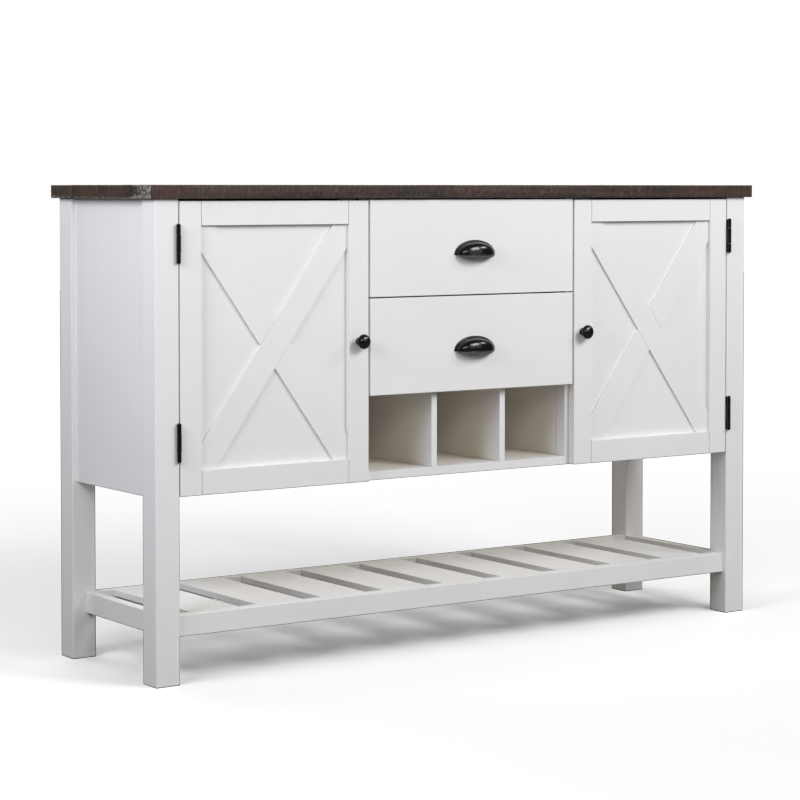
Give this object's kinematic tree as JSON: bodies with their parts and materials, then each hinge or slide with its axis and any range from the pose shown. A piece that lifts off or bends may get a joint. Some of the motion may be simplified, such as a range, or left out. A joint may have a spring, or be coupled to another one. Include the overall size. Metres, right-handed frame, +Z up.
{
  "type": "sideboard buffet",
  "caption": "Sideboard buffet on square legs, with X-braced doors, drawers, open cubbies and a slatted shelf below a thick stained top.",
  "frame": {"origin": "on the floor, under the middle of the top; the knobs stand 15.5 mm in front of the top, so the middle of the whole bounding box is 7.75 mm further forward", "axes": "+X to the right along the width as seen from the front, +Y towards the back, so the doors and drawers face -Y, and +Z up"},
  "size_m": [1.416, 0.4055, 0.889],
  "materials": {
    "white_paint": "satin white paint on wood",
    "stained_top": "rough-sawn wood with a dark brown stain, worn at the edges",
    "black_hardware": "glossy black enamel on cast metal",
    "drawer_wood": "clear-lacquered light wood",
    "zinc_steel": "zinc-plated steel"
  },
  "bodies": {
    "carcass": {"back_panel": "white_paint", "bottom_panel": "white_paint", "cubby_ceiling": "white_paint", "cubby_divider_left": "white_paint", "cubby_divider_right": "white_paint", "cupboard_shelf_left": "white_paint", "cupboard_shelf_right": "white_paint", "drawer_slide_lower_left": "zinc_steel", "drawer_slide_lower_right": "zinc_steel", "drawer_slide_upper_left": "zinc_steel", "drawer_slide_upper_right": "zinc_steel", "hinge_left_lower_fixed_leaf": "black_hardware", "hinge_left_upper_fixed_leaf": "black_hardware", "hinge_right_lower_fixed_leaf": "black_hardware", "hinge_right_upper_fixed_leaf": "black_hardware", "leg_back_left": "white_paint", "leg_back_right": "white_paint", "leg_front_left": "white_paint", "leg_front_right": "white_paint", "partition_left": "white_paint", "partition_right": "white_paint", "shelf_rail_back": "white_paint", "shelf_rail_front": "white_paint", "shelf_rail_left": "white_paint", "shelf_rail_right": "white_paint", "shelf_slat_1": "white_paint", "shelf_slat_2": "white_paint", "shelf_slat_3": "white_paint", "shelf_slat_4": "white_paint", "shelf_slat_5": "white_paint", "shelf_slat_6": "white_paint", "shelf_slat_7": "white_paint", "shelf_slat_8": "white_paint", "shelf_slat_9": "white_paint", "side_panel_left": "white_paint", "side_panel_right": "white_paint", "table_top": "stained_top"},
    "left_door": {"door_left_brace_long": "white_paint", "door_left_brace_lower": "white_paint", "door_left_brace_upper": "white_paint", "door_left_frame": "white_paint", "door_left_knob": "black_hardware", "door_left_panel": "white_paint", "hinge_left_lower_door_leaf": "black_hardware", "hinge_left_upper_door_leaf": "black_hardware"},
    "right_door": {"door_right_brace_long": "white_paint", "door_right_brace_lower": "white_paint", "door_right_brace_upper": "white_paint", "door_right_frame": "white_paint", "door_right_knob": "black_hardware", "door_right_panel": "white_paint", "hinge_right_lower_door_leaf": "black_hardware", "hinge_right_upper_door_leaf": "black_hardware"},
    "upper_drawer": {"drawer_upper_front": "white_paint", "drawer_upper_pull": "black_hardware", "drawer_upper_tray": "drawer_wood"},
    "lower_drawer": {"drawer_lower_front": "white_paint", "drawer_lower_pull": "black_hardware", "drawer_lower_tray": "drawer_wood"}
  },
  "joints": [
    {"name": "left_door_hinge", "type": "hinge", "parent": "carcass", "child": "left_door", "pos_m": [-0.649, -0.1905, 0.5985], "axis": [0, 0, -1], "range_deg": [0, 180]},
    {"name": "right_door_hinge", "type": "hinge", "parent": "carcass", "child": "right_door", "pos_m": [0.649, -0.1905, 0.5985], "axis": [0, 0, 1], "range_deg": [0, 180]},
    {"name": "upper_drawer_slide", "type": "slide", "parent": "carcass", "child": "upper_drawer", "axis": [0, -1, 0], "range_m": [0, 0.25]},
    {"name": "lower_drawer_slide", "type": "slide", "parent": "carcass", "child": "lower_drawer", "axis": [0, -1, 0], "range_m": [0, 0.25]}
  ]
}
